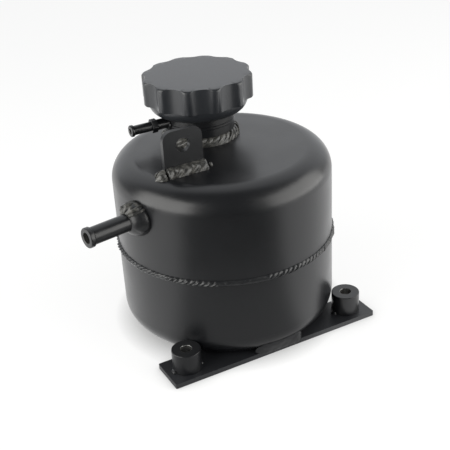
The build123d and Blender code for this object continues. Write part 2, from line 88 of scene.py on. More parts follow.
def addNode(tree, kind, settings=None, wires=None):
    node = tree.nodes.new(kind)
    for key, value in (settings or {}).items():
        if isinstance(key, str) and hasattr(node, key):
            setattr(node, key, value)
        else:
            node.inputs[key].default_value = value
    for key, source in (wires or {}).items():
        tree.links.new(source, node.inputs[key])
    return node


def emptyTree(owner):
    owner.use_nodes = True
    owner.node_tree.nodes.clear()
    return owner.node_tree


def newLook(name, settings):
    look = bpy.data.materials.new(name)
    tree = emptyTree(look)
    shader = addNode(tree, "ShaderNodeBsdfPrincipled", settings)
    addNode(tree, "ShaderNodeOutputMaterial", None, {"Surface": shader.outputs[0]})
    place = addNode(tree, "ShaderNodeTexCoord").outputs["Object"]
    return look, tree, shader, place


def blotches(tree, place, size, detail):
    # noise whose blotches are about this many millimetres across
    return addNode(tree, "ShaderNodeTexNoise", {"Scale": 1 / (size * mm), "Detail": detail},
                   {"Vector": place}).outputs[0]


def blend(tree, share, low, high):
    return addNode(tree, "ShaderNodeMix", {"data_type": "RGBA", 6: hexColor(low), 7: hexColor(high)},
                   {0: share}).outputs[2]


def remap(tree, value, low, high, start=0.3, end=0.7):
    return addNode(tree, "ShaderNodeMapRange",
                   {"From Min": start, "From Max": end, "To Min": low, "To Max": high},
                   {"Value": value}).outputs[0]


def relief(tree, height, depth, strength=1.0, under=None):
    # bumps of this depth in millimetres, laid over those of another relief
    wires = {"Height": height} if under is None else {"Height": height, "Normal": under}
    return addNode(tree, "ShaderNodeBump", {"Strength": strength, "Distance": depth * mm}, wires).outputs[0]


def plug(tree, shader, sources):
    for key, source in sources.items():
        tree.links.new(source, shader.inputs[key])


def powderCoat(name, coat):
    # Polyester powder coat, sprayed dry on the welded tank and baked: satin black, with the
    # faint orange peel of a coat that flowed out in the oven, and sheen that drifts a little.
    look, tree, shader, place = newLook(name, {"IOR": 1.5})
    drift = blotches(tree, place, coat["drift"], detail=3.0)
    wavy = relief(tree, blotches(tree, place, coat["peel"], detail=1.0), coat["peelDepth"])
    grit = blotches(tree, place, coat["grit"], detail=0.0)
    plug(tree, shader, {"Base Color": blend(tree, drift, coat["deep"], coat["color"]),
                        "Roughness": remap(tree, drift, coat["bright"], coat["dull"], start=0.35, end=0.65),
                        "Normal": relief(tree, grit, coat["gritDepth"], strength=0.4, under=wavy)})
    return look


def beadCoat(name, coat):
    # The same coat over a weld bead. Where the coat is thinner, the bead's grey oxide shows through it in
    # patches; the crests shine a little more than the pits between them. The lit copy of this look has a
    # much lighter base and much lighter patches: painted light, for the light the bead's ripples catch.
    look, tree, shader, place = newLook(name, {"IOR": 1.5})
    patch = blotches(tree, place, coat["patch"], detail=2.0)
    bare = remap(tree, patch, 0, 1, start=0.4, end=0.65)
    pit = blotches(tree, place, coat["pit"], detail=2.0)
    plug(tree, shader, {"Base Color": blend(tree, bare, coat["color"], coat["patchTone"]),
                        "Roughness": remap(tree, pit, coat["bright"], coat["dull"]),
                        "Normal": relief(tree, pit, coat["pitDepth"])})
    return look


def anodised():
    # Turned aluminium, blasted fine and dyed black in the anodising bath: a hard glassy film
    # with a cool cast, and very fine rings from the lathe, drawn at 0.5 mm so that they show.
    film = {"color": "#242629", "ring": 0.5, "ringDepth": 0.0015, "speck": 0.5, "dull": 0.34, "bright": 0.28}
    look, tree, shader, place = newLook("blackAnodisedAluminium",
                                        {"IOR": 1.5, "Base Color": hexColor(film["color"])})
    centred = addNode(tree, "ShaderNodeMapping", {"Location": -neckAxis * mm}, {"Vector": place})
    rings = addNode(tree, "ShaderNodeTexWave", {"wave_type": "RINGS", "rings_direction": "Z",
                                                "Scale": math.pi / 10 / (film["ring"] * mm),
                                                "Distortion": 0.0}, {"Vector": centred.outputs[0]})
    speck = blotches(tree, place, film["speck"], detail=1.0)
    plug(tree, shader, {"Roughness": remap(tree, speck, film["bright"], film["dull"]),
                        "Normal": relief(tree, rings.outputs[1], film["ringDepth"], strength=0.5)})
    return look


def sealRubber():
    # Moulded nitrile rubber: matt, with the faint mottle of talc left from the mould.
    rubber = {"color": "#1a1a1a", "talc": "#2b2b2a", "mottle": 2.5, "mottleDepth": 0.02, "rough": 0.62}
    look, tree, shader, place = newLook("mouldedNitrile", {"IOR": 1.52, "Roughness": rubber["rough"]})
    mottle = blotches(tree, place, rubber["mottle"], detail=4.0)
    plug(tree, shader, {"Base Color": blend(tree, mottle, rubber["color"], rubber["talc"]),
                        "Normal": relief(tree, mottle, rubber["mottleDepth"], strength=0.5)})
    return look


def stainless():
    # Pressed stainless sheet: bright, with the fine one-way lines of the rolling mill.
    sheet = {"color": "#c4c2bd", "line": 0.35, "stretch": 0.04, "dull": 0.36, "bright": 0.24}
    look, tree, shader, place = newLook("pressedStainless",
                                        {"Metallic": 1.0, "Base Color": hexColor(sheet["color"])})
    drawn = addNode(tree, "ShaderNodeMapping", {"Scale": (1.0, sheet["stretch"], 1.0)}, {"Vector": place})
    lines = blotches(tree, drawn.outputs[0], sheet["line"], detail=2.0)
    plug(tree, shader, {"Roughness": remap(tree, lines, sheet["bright"], sheet["dull"])})
    return look


def springWire():
    # Patented spring wire, drawn and oiled: grey, a little browned by heat.
    wire = {"color": "#8d8a84", "warm": "#7c7266", "patch": 3.0, "rough": 0.38}
    look, tree, shader, place = newLook("drawnSpringWire", {"Metallic": 1.0, "Roughness": wire["rough"]})
    patch = blotches(tree, place, wire["patch"], detail=3.0)
    plug(tree, shader, {"Base Color": blend(tree, patch, wire["color"], wire["warm"])})
    return look


def turnedBrass():
    # Free-cutting brass, turned and left bare: yellow, dulled in patches where it has tarnished.
    brass = {"color": "#c9a45c", "dullColor": "#9b7d46", "patch": 2.2, "dull": 0.42, "bright": 0.26}
    look, tree, shader, place = newLook("turnedBrass", {"Metallic": 1.0})
    patch = blotches(tree, place, brass["patch"], detail=4.0)
    plug(tree, shader, {"Base Color": blend(tree, patch, brass["color"], brass["dullColor"]),
                        "Roughness": remap(tree, patch, brass["bright"], brass["dull"], start=0, end=1)})
    return look


def bareBore():
    # Drilled aluminium: the bores were plugged while the coat was sprayed, so they stay bare and dull.
    bore = {"color": "#8e8e8c", "line": 0.5, "dull": 0.52, "bright": 0.40}
    look, tree, shader, place = newLook("bareDrilledAluminium",
                                        {"Metallic": 1.0, "Base Color": hexColor(bore["color"])})
    lines = blotches(tree, place, bore["line"], detail=1.0)
    plug(tree, shader, {"Roughness": remap(tree, lines, bore["bright"], bore["dull"])})
    return look


boreLook = bareBore()
tankCoat = {"color": "#141517", "deep": "#101113", "peel": 1.7, "peelDepth": 0.012, "drift": 21,
            "dull": 0.34, "bright": 0.28, "grit": 0.35, "gritDepth": 0.002}
# on the flat strip the powder lies thicker and flows less, so it is duller; its colour is made greyer than
# the tank's as painted light, lifting the strip where it lies in the tank's shade
litPlateCoat = powderCoat("paintedLightPlateCoat", {**tankCoat, "color": "#252629", "deep": "#1f2022",
                                                  "dull": 0.42, "bright": 0.36})
fullCoat = {"color": "#161719", "patchTone": "#1e1f20", "patch": 1.6, "pit": 0.9, "pitDepth": 0.02, "dull": 0.38,
            "bright": 0.28}
# a much lighter copy of the weld coat, worn by the neck's bead, the tab's beads and the vent's lump: painted
# light, its base and patches lightened for the light those ripples catch on top and on the lit left side
litWeldCoat = {**fullCoat, "color": "#252523", "patchTone": "#4f4e4a", "patch": 2.4, "pitDepth": 0.03}
litWeldLook = beadCoat("paintedLightWeldBead", litWeldCoat)
looks = {"black_coat": powderCoat("satinPowderCoat", tankCoat),
         "coated_weld": beadCoat("coatedWeldBead", fullCoat), "black_anodised": anodised(),
         "seal_rubber": sealRubber(), "stainless_steel": stainless(), "spring_steel": springWire(),
         "valve_brass": turnedBrass()}
print("materials:", len(looks))


# Pieces

sharpAngle = math.radians(38)
mergeDistance = 0.003
boreMargin = 0.05


def finishPiece(mesh, name, slot, body, nodes, edge=None, look=None):
    bmesh.ops.remove_doubles(mesh, verts=mesh.verts, dist=mergeDistance * mm)
    bmesh.ops.recalc_face_normals(mesh, faces=mesh.faces)
    data = bpy.data.meshes.new(name)
    mesh.to_mesh(data)
    mesh.free()
    data.materials.append(look or looks[slot])
    if any(face.material_index for face in data.polygons):
        data.materials.append(boreLook)
    data.shade_smooth()
    data.set_sharp_from_angle(angle=sharpAngle)
    piece = bpy.data.objects.new(name, data)
    bpy.context.scene.collection.objects.link(piece)
    if edge:
        rounded = piece.modifiers.new("edges", "BEVEL")
        rounded.width, rounded.segments = edge * mm, 3
        rounded.limit_method, rounded.angle_limit = "ANGLE", sharpAngle
        rounded.harden_normals = True
    if nodes:
        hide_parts(*nodes)
    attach(piece, body)


def spinProfile(mesh, points, centre, heading, turns=96):
    # points are (along, radius) from the centre; the ends of the profile meet
    side = heading.orthogonal().normalized()
    verts = [mesh.verts.new((centre + heading * along + side * radius) * mm) for along, radius in points]
    edges = [mesh.edges.new((verts[i - 1], verts[i])) for i in range(len(verts))]
    bmesh.ops.spin(mesh, geom=verts + edges, cent=centre * mm, axis=heading, angle=math.tau, steps=turns,
                   use_merge=True, use_duplicate=False)


def plateWithHoles(mesh, width, height, corners, radius, holes, thickness, place):
    # a flat plate drawn in its own plane, with its upper two or all four corners rounded and with
    # round holes, then set in place
    bmesh.ops.create_grid(mesh, x_segments=1, y_segments=1, size=0.5)
    bmesh.ops.scale(mesh, vec=Vector((width * mm, height * mm, 1)), verts=mesh.verts)
    bmesh.ops.translate(mesh, vec=Vector((0, height / 2 * mm, 0)), verts=mesh.verts)
    rounded = [v for v in mesh.verts if v.co.y > 0 or corners == 4]
    bmesh.ops.bevel(mesh, geom=rounded, offset=radius * mm, offset_type="OFFSET", segments=12,
                    profile=0.5, affect="VERTICES", material=-1)
    for x, y, hole in holes:
        bmesh.ops.create_circle(mesh, segments=48, radius=hole * mm,
                                matrix=Matrix.Translation(Vector((x, y, 0)) * mm))
    bmesh.ops.delete(mesh, geom=mesh.faces[:], context="FACES_ONLY")
    bmesh.ops.triangle_fill(mesh, use_beauty=False, edges=mesh.edges[:])
    raised = bmesh.ops.extrude_face_region(mesh, geom=mesh.faces[:])
    moved = [g for g in raised["geom"] if isinstance(g, bmesh.types.BMVert)]
    bmesh.ops.translate(mesh, vec=Vector((0, 0, thickness * mm)), verts=moved)
    bmesh.ops.transform(mesh, matrix=place, verts=mesh.verts)


def bareFaces(mesh, centre, heading, bore):
    # the faces of a bore take the bare look
    for face in mesh.faces:
        arm = face.calc_center_median() / mm - centre
        if (arm - heading * arm.dot(heading)).length < bore + boreMargin:
            face.material_index = 1


# Weld beads. A rail gives, for a share of the way along, the two toes of the bead and the
# corner behind it. Overlapping ripples, each a little different, make the stack of coins.
# The topShare of a bead's rows lies on its face, and the others close it behind.
beadStyle = {"pitch": 3.4, "depth": 0.5, "bow": 0.35, "lean": 0.5, "scallop": 0.08, "uneven": 0.12,
             "lump": 4.0, "crown": 1.0, "rows": 20, "step": 0.4, "lead": 3.0, "taper": 3.0, "blunt": 0.5,
             "calm": (1, 1), "ring": False, "topShare": 0.76, "archPower": 0.7, "skew": 0.62,
             "evenCrest": 0.6, "widthLuck": 0.5, "heightLuck": 0.45, "seed": 1}
sink = 0.2        # how far the corner behind a bead lies inside the metal


def layBead(mesh, rail, length, bead):
    luck = random.Random(bead["seed"])
    ripples = max(1, round(length / bead["pitch"]))
    chance = [luck.uniform(-1, 1) for _ in range(ripples + 3)]
    drift = Vector((luck.uniform(0, 50), luck.uniform(0, 50), luck.uniform(0, 50)))
    old = set(mesh.verts)
    bmesh.ops.create_grid(mesh, x_segments=max(8, round(length / bead["step"])), y_segments=bead["rows"],
                          size=0.5)
    for vert in [v for v in mesh.verts if v not in old]:
        along, around = vert.co.x + 0.5, vert.co.y + 0.5
        toeA, toeB, root = rail(along)
        middle = (toeA + toeB) / 2
        out = (middle - root).normalized()
        across = min(around / bead["topShare"], 1.0)
        phase = along * ripples + bead["bow"] * (2 * across - 1) ** 2 + bead["lean"] * (across - 0.5)
        number = math.floor(phase)
        luckHere = chance[number % ripples]
        crest = math.sin(math.pi * (phase - number) ** bead["skew"])
        if bead["calm"][0] < along < bead["calm"][1]:
            crest = bead["evenCrest"]
        spread = 1 + bead["scallop"] * (crest - bead["evenCrest"]) * (1 + luckHere * bead["widthLuck"])
        if around <= bead["topShare"]:
            arch = math.sin(math.pi * across) ** bead["archPower"]
            wave = 1 - bead["depth"] + bead["depth"] * crest * (1 + bead["heightLuck"] * luckHere)
            where = middle + (toeA + (toeB - toeA) * across - middle) * spread
            rough = noise.noise(where / bead["lump"] + drift) * bead["uneven"]
            where += out * bead["crown"] * arch * (wave + rough)
        else:
            back = (around - bead["topShare"]) / (1 - bead["topShare"])
            start, end = (toeB, root) if back < 0.5 else (root, toeA)
            where = start + (end - start) * (back * 2 % 1 if back < 1 else 1)
            where = where + (middle - where) * (1 - spread) * abs(2 * back - 1)
        if not bead["ring"]:
            ends = min(along * length / bead["lead"], (1 - along) * length / bead["taper"])
            if ends < 1:
                where = root + (where - root) * max(0, 1 - (1 - ends) ** 2) ** bead["blunt"]
        vert.co = where * mm


def weldPiece(name, nodes, runs, look=None):
    # runs are the (rail, length, bead) of each bead in the piece
    mesh = bmesh.new()
    for rail, length, bead in runs:
        layBead(mesh, rail, length, bead)
    finishPiece(mesh, name, "coated_weld", "tank", nodes, look=look)


# Round the seam between the two cups. The crown's slack keeps the tallest ripple within the CAD's bead.
seamLow, seamHigh = nodeBox("seam_weld")
seamSlack = 0.3
seamBead = {**beadStyle, "width": 3.6, "crown": (seamHigh - seamLow).x / 2 - tankRadius - seamSlack,
            "inside": 1.2, "pitch": 3.3, "depth": 0.5, "bow": 0.3, "lean": -1.3, "uneven": 0.1,
            "calm": (0.66, 0.73), "ring": True, "seed": 3}


def seamRail(along):
    ray = outward(360 * along)
    wall = tankAxis + ray * tankRadius + upward * seamHeight
    half = upward * seamBead["width"] / 2
    return wall - half, wall + half, wall - ray * seamBead["inside"]


weldPiece("seamBead", ["seam_weld"], [(seamRail, math.tau * tankRadius, seamBead)])


def coverHeight(x, y):
    # the tank's top face and, outside it, the round shoulder
    past = (Vector((x, y, 0)) - tankAxis).length - tankRadius + shoulder
    return tankTop - (shoulder - math.sqrt(shoulder ** 2 - past ** 2) if past > 0 else 0)


# Round the neck's foot
neckBead = {**beadStyle, "collar": 20.8, "leg": 2.9, "rise": 4.7, "crown": 1.3, "pitch": 4.0, "depth": 0.7,
            "bow": 0.3, "lean": -1.5, "uneven": 0.2, "ring": True, "seed": 5}


def neckRail(along):
    ray = outward(360 * along)
    foot = neckAxis + ray * neckBead["collar"] + upward * tankTop
    return foot + ray * neckBead["leg"], foot + upward * neckBead["rise"], foot - ray * sink - upward * sink


weldPiece("neckBead", ["neck_weld"], [(neckRail, math.tau * neckBead["collar"], neckBead)], litWeldLook)

# Two fine ridges left by the turning tool around the neck's collar
neckRidge = {"heights": (118.9, 120.6), "half": 0.35, "foot": neckBead["collar"] - sink, "crest": 21.1}
ridges = bmesh.new()
for height in neckRidge["heights"]:
    spinProfile(ridges, [(height - neckRidge["half"], neckRidge["foot"]), (height, neckRidge["crest"]),
                         (height + neckRidge["half"], neckRidge["foot"])], neckAxis, upward)
finishPiece(ridges, "neckRidges", "black_coat", "tank", [])

# The tab's welds: a heavy one in front, the blob where it was started, a small tack past its end, and
# a lighter one behind
tabLow, tabHigh = nodeBox("mounting_tab")
tabFront = {**beadStyle, "face": tabLow.y, "side": -1, "leg": 5.0, "crown": 1.7, "pitch": 5.0, "depth": 0.8,
            "bow": 0.9, "lean": 0.0, "uneven": 0.2, "lead": 1.2, "taper": 2.0, "from": tabLow.x,
            "to": tabHigh.x + 2.0, "seed": 8}
tabBeads = [tabFront,
            {**tabFront, "from": tabLow.x - 6.5, "to": tabLow.x, "crown": 1.5, "pitch": 7.0, "uneven": 0.4,
             "lead": 6.0, "taper": 0.8, "blunt": 0.8, "seed": 10},
            {**tabFront, "from": tabHigh.x + 2.4, "to": tabHigh.x + 5.4, "leg": 1.8, "crown": 0.5,
             "lead": 1.2, "taper": 1.2, "seed": 11},
            {**beadStyle, "face": tabHigh.y, "side": 1, "leg": 2.6, "crown": 0.9, "pitch": 3.4,
             "from": tabLow.x - 5, "to": tabHigh.x + 2, "seed": 9}]


def tabRail(bead):
    def rail(along):
        x = bead["from"] + along * (bead["to"] - bead["from"])
        toeY = bead["face"] + bead["side"] * bead["leg"]
        foot = Vector((x, bead["face"], coverHeight(x, bead["face"])))
        return (Vector((x, toeY, coverHeight(x, toeY))), foot + upward * bead["leg"],
                foot - Vector((0, bead["side"] * sink, sink)))
    return rail


weldPiece("tabBeads", ["tab_weld"],
          [(tabRail(bead), bead["to"] - bead["from"], bead) for bead in tabBeads], litWeldLook)

# Where the two hose spigots stand on the tank's round wall
ventPlace = {"angle": 190, "height": 87.9, "aside": 5.5}
outletPlace = {"angle": 90, "height": 28, "aside": 0}


def axisOf(place):
    return tankAxis + upward * place["height"] + outward(place["angle"] + 90) * place["aside"]


def saddleRail(place, radius, leg):
    # around a spigot on the round wall, its centre line beside the tank's axis
    ray, level = outward(place["angle"]), outward(place["angle"] + 90)

    def rail(along):
        turn = math.tau * along
        toes = []
        for reach, stand in ((radius + leg, 0), (radius, leg)):
            side = place["aside"] + reach * math.sin(turn)
            depth = math.sqrt(tankRadius ** 2 - side ** 2) + stand
            height = place["height"] + reach * math.cos(turn)
            toes.append(tankAxis + ray * depth + level * side + upward * height)
        corner = place["aside"] + (radius - sink) * math.sin(turn)
        root = (tankAxis + ray * (math.sqrt(tankRadius ** 2 - corner ** 2) - sink) + level * corner
                + upward * (place["height"] + (radius - sink) * math.cos(turn)))
        return toes[0], toes[1], root
    return rail


# The vent's bung is buried in a smooth cone of weld, with a lump of filler left on top
ventCone = {**beadStyle, "face": 70.5, "radius": 5.05, "leg": 1.9, "reach": 10.2, "from": 0, "to": 360,
            "crown": 2.2, "inside": 4, "calm": (-1, 1), "ring": True, "seed": 12}
ventLump = {**ventCone, "from": -80, "to": 55, "crown": 2.7, "pitch": 3.0, "depth": 0.35, "uneven": 0.38,
            "lump": 2.2, "step": 0.25, "lead": 2.5, "taper": 2.5, "calm": (1, 1), "ring": False, "seed": 15}
outletBead = {**beadStyle, "radius": 9.5, "leg": 2.4, "crown": 0.9, "pitch": 3.0, "ring": True, "seed": 14}


def coneRail(bead):
    ray, level = outward(ventPlace["angle"]), outward(ventPlace["angle"] + 90)
    wall = saddleRail(ventPlace, bead["reach"], 0)

    def rail(along):
        share = (bead["from"] + along * (bead["to"] - bead["from"])) / 360
        spoke = level * math.sin(math.tau * share) + upward * math.cos(math.tau * share)
        tube = axisOf(ventPlace) + ray * bead["face"] + spoke * bead["radius"]
        return wall(share)[0], tube + ray * bead["leg"], tube - (ray + spoke) * sink - ray * bead["inside"]
    return rail


weldPiece("outletBead", ["outlet_weld"],
          [(saddleRail(outletPlace, outletBead["radius"], outletBead["leg"]),
            math.tau * outletBead["radius"], outletBead)])
weldPiece("ventBead", ["vent_weld"], [(coneRail(ventCone), math.tau * ventCone["radius"], ventCone)])
lumpLength = ventLump["reach"] * math.radians(ventLump["to"] - ventLump["from"])
weldPiece("ventLump", [], [(coneRail(ventLump), lumpLength, ventLump)], litWeldLook)

# Round the lower part of the overflow boss only, because the cap's edge passes close above it
overflowBead = {**beadStyle, "height": 121.5, "radius": 3.2, "leg": 1.4, "collar": 20.8, "crown": 0.5,
                "pitch": 2.2, "depth": 0.4, "step": 0.3, "rows": 14, "taper": 1.0, "from": 82, "to": 278,
                "seed": 16}


def overflowRail(along):
    turn = math.radians(overflowBead["from"] + along * (overflowBead["to"] - overflowBead["from"]))
    toes = []
    for reach, stand in ((overflowBead["radius"] + overflowBead["leg"], 0),
                         (overflowBead["radius"], overflowBead["leg"]),
                         (overflowBead["radius"] - sink, -sink)):
        side = reach * math.sin(turn)
        depth = math.sqrt(overflowBead["collar"] ** 2 - side ** 2) + stand
        toes.append(neckAxis + Vector((-depth, side, overflowBead["height"] + reach * math.cos(turn))))
    return toes


overflowLength = ((overflowBead["radius"] + overflowBead["leg"] / 2)
                  * math.radians(overflowBead["to"] - overflowBead["from"]))
weldPiece("overflowBead", ["overflow_weld"], [(overflowRail, overflowLength, overflowBead)])

# Strip to tank: a heavy bead over the strip's front edge, and a fillet behind
stripLow, stripHigh = nodeBox("base_strip")
footBead = {**beadStyle, "length": 32, "low": 1.3, "high": 9.4, "footRadius": 13, "off": 0.1, "inside": 1.5,
            "crown": 0.5, "pitch": 5.2, "depth": 0.2, "bow": 0.7, "lean": 1.4, "uneven": 0.5, "lead": 7.0,
            "taper": 4.0, "seed": 21}
rearBead = {**beadStyle, "length": 66, "leg": 2.4, "crown": 0.5, "pitch": 3.6, "seed": 22}


def footRail(along):
    x = (along - 0.5) * footBead["length"]
    drop = stripHigh.z + footBead["footRadius"] - footBead["high"]
    reach = tankRadius - footBead["footRadius"] + math.sqrt(footBead["footRadius"] ** 2 - drop ** 2)
    wall = tankAxis.y - math.sqrt(reach ** 2 - x ** 2)
    return (Vector((x, stripLow.y - footBead["off"], footBead["low"])),
            Vector((x, wall - footBead["off"], footBead["high"])),
            Vector((x, stripLow.y + footBead["inside"], stripHigh.z + footBead["inside"])))


def rearRail(along):
    foot = Vector(((along - 0.5) * rearBead["length"], stripHigh.y, stripHigh.z))
    return (foot + Vector((0, rearBead["leg"], 0)), foot - upward * rearBead["leg"],
            foot + Vector((0, -sink, sink)))


weldPiece("baseBeads", ["base_weld"], [(footRail, footBead["length"], footBead),
                                       (rearRail, rearBead["length"], rearBead)], looks["black_coat"])

# Four tacks at the bosses' feet
tack = {**beadStyle, "arc": 34, "leg": 1.6, "crown": 0.5, "pitch": 1.8, "depth": 0.3, "step": 0.25,
        "rows": 12, "taper": 1.2, "seed": 31}


def tackRail(low, high, heading):
    centre = Vector(((low.x + high.x) / 2, (low.y + high.y) / 2, low.z))

    def rail(along):
        ray = outward(heading + (along - 0.5) * tack["arc"])
        foot = centre + ray * (high.x - low.x) / 2
        return foot + ray * tack["leg"], foot + upward * tack["leg"], foot - ray * sink - upward * sink
    return rail


bossBoxes = {name: nodeBox(name) for name in ("boss_left", "boss_right")}
weldPiece("bossTacks", ["boss_welds"],
          [(tackRail(low, high, heading), math.radians(tack["arc"]) * (high.x - low.x) / 2, tack)
           for low, high in bossBoxes.values() for heading in (0, 180)])
print("weld beads laid")

# Base strip, sheared plate with its edges broken
strip = {"corners": 4, "corner": 0.8, "hole": 3.3, "edge": 0.45}
bolts = [(low.x + high.x) / 2 for low, high in bossBoxes.values()]
plate = bmesh.new()
stripWidth = stripHigh.y - stripLow.y
plateWithHoles(plate, stripHigh.x - stripLow.x, stripWidth, strip["corners"], strip["corner"],
               [(x, stripWidth / 2, strip["hole"]) for x in bolts], stripHigh.z,
               Matrix.Translation(Vector((0, stripLow.y, 0)) * mm))
# the strip takes the greyer coat, painted light for the shade it lies in under the tank
finishPiece(plate, "baseStrip", "black_coat", "tank", ["base_strip"], strip["edge"], litPlateCoat)

# Steadying tab, sawn plate with two rounded corners
tab = {"corners": 2, "corner": 5.5, "hole": 4.2, "holeHeight": 16.3, "edge": 0.5}
ear = bmesh.new()
upright = Matrix.Translation(Vector(((tabLow.x + tabHigh.x) / 2, tabHigh.y, tabLow.z)) * mm)
plateWithHoles(ear, tabHigh.x - tabLow.x, tabHigh.z - tabLow.z, tab["corners"], tab["corner"],
               [(0, tab["holeHeight"], tab["hole"])], tabHigh.y - tabLow.y,
               upright @ Matrix.Rotation(math.pi / 2, 4, "X"))
finishPiece(ear, "mountingTab", "black_coat", "tank", ["mounting_tab"], tab["edge"])
print("strip and tab cut")

# The two bosses, turned, their bores left bare
boss = {"bore": 3.3, "edge": 0.4}
for name, node in (("leftBoss", "boss_left"), ("rightBoss", "boss_right")):
    low, high = bossBoxes[node]
    centre = Vector(((low.x + high.x) / 2, (low.y + high.y) / 2, 0))
    post = bmesh.new()
    spinProfile(post, [(low.z, boss["bore"]), (low.z, (high.x - low.x) / 2), (high.z, (high.x - low.x) / 2),
                       (high.z, boss["bore"])], centre, upward, turns=64)
    bareFaces(post, centre, upward, boss["bore"])
    finishPiece(post, name, "black_coat", "tank", [node], boss["edge"])


# Hose spigots, turned and coated. The bead at the tip rises over a short ramp and ends in a nose.
tip = {"ramp": 0.6, "ease": 0.15, "nose": 0.3}
vent = {**ventPlace, "start": 65.5, "tip": 98.2, "radius": 5.05, "bore": 3.35, "bead": 5.85, "length": 3.2,
        "edge": 0.25}
outlet = {**outletPlace, "start": 60, "tip": 96.95, "radius": 9.5, "bore": 7.5, "bead": 10.6, "length": 4.0,
          "edge": 0.3}
overflow = {"height": 121.5, "start": 32.2, "tip": 45.3, "radius": 2.8, "bore": 1.7, "bead": 3.5,
            "length": 2.2, "shankStart": 23.0, "shank": 2.4, "hexStart": 28.6, "hexFlats": 7.4,
            "hexBore": 2.0, "tubeOverlap": 0.5, "shankOverlap": 1, "edge": 0.22}


def hosePoints(hose):
    foot = hose["tip"] - hose["length"]
    return [(hose["start"], hose["bore"]), (hose["start"], hose["radius"]), (foot, hose["radius"]),
            (foot + tip["ramp"] / 2, hose["bead"] - tip["ease"]), (foot + tip["ramp"], hose["bead"]),
            (hose["tip"] - tip["nose"], hose["bead"]), (hose["tip"], hose["bead"] - tip["nose"]),
            (hose["tip"], hose["bore"])]


for hose, name, node in ((vent, "ventSpigot", "vent_barb"), (outlet, "outletSpigot", "outlet_pipe")):
    spigot = bmesh.new()
    spinProfile(spigot, hosePoints(hose), axisOf(hose), outward(hose["angle"]))
    bareFaces(spigot, axisOf(hose), outward(hose["angle"]), hose["bore"])
    finishPiece(spigot, name, "black_coat", "tank", [node], hose["edge"])

# The overflow spigot points left out of the neck: its tube, its shank and the hexagon between them
leftward = outward(180)
barb = bmesh.new()
barbCentre = neckAxis + upward * overflow["height"]
barbPoints = hosePoints({**overflow, "start": overflow["hexStart"] + overflow["tubeOverlap"]})
spinProfile(barb, barbPoints, barbCentre, leftward, turns=64)
shankEnd = overflow["hexStart"] + overflow["shankOverlap"]
spinProfile(barb, [(overflow["shankStart"], overflow["bore"]), (overflow["shankStart"], overflow["shank"]),
                   (shankEnd, overflow["shank"]), (shankEnd, overflow["bore"])],
            barbCentre, leftward, turns=64)
bareFaces(barb, barbCentre, leftward, overflow["bore"])
seat = (Matrix.Translation((barbCentre + leftward * overflow["hexStart"]) * mm)
        @ Matrix.Rotation(-math.pi / 2, 4, "Y"))
hexRadius = overflow["hexFlats"] / 2 / math.cos(math.pi / 6)
rim = bmesh.ops.create_circle(barb, segments=6, radius=hexRadius * mm, matrix=seat)["verts"]
inner = bmesh.ops.create_circle(barb, segments=48, radius=overflow["hexBore"] * mm, matrix=seat)["verts"]
loops = {e for v in rim + inner for e in v.link_edges}
nut = bmesh.ops.triangle_fill(barb, use_beauty=True, edges=list(loops))["geom"]
raised = bmesh.ops.extrude_face_region(barb, geom=[g for g in nut if isinstance(g, bmesh.types.BMFace)])
bmesh.ops.translate(barb, vec=leftward * (overflow["start"] - overflow["hexStart"]) * mm,
                    verts=[g for g in raised["geom"] if isinstance(g, bmesh.types.BMVert)])
finishPiece(barb, "overflowSpigot", "black_coat", "tank", ["overflow_barb"], overflow["edge"])
print("spigots turned")

# Screw cap: rings of edges drawn out one after another, from the middle of the top, over the
# lobes and the skirt, and back up inside to the hub
cap = {"lobe": 33.1, "lobes": 12, "phase": 8, "scallop": 12.0, "scallopDepth": 2.9, "soften": 0.22,
       "round": 1.5, "topInset": 4, "underLobe": 133.0, "underRound": 0.5, "undercut": 0.3,
       "skirtTop": 30.1, "skirtFoot": 23.2, "skirtBulge": 1.33, "bore": 21.7, "boreChamfer": 0.5,
       "roof": 143.7, "hub": 7.0, "hubFoot": 140.9, "stud": 3.0, "studTop": 146.2, "perLobe": 18,
       "levels": 8, "threadStart": 130.2, "pitch": 4.0, "threadTurns": 2, "threadDepth": 1.2,
       "threadRoot": 0.3, "threadFoot": 1.0, "threadCrest": 0.4, "threadSteps": 72}


def lobeRadius(angle, outline):
    # a turned outline with a circular scallop cut between each two lobes, the corners a little softened
    spacing = 360 / cap["lobes"]
    offset = math.radians((angle - cap["phase"] + spacing / 2) % spacing - spacing / 2)
    centre = cap["lobe"] - cap["scallopDepth"] + cap["scallop"]
    under = cap["scallop"] ** 2 - (centre * math.sin(offset)) ** 2
    cut = centre * math.cos(offset) - math.sqrt(under) if under > 0 else centre
    return outline - cap["soften"] * math.log(1 + math.exp((outline - cut) / cap["soften"]))


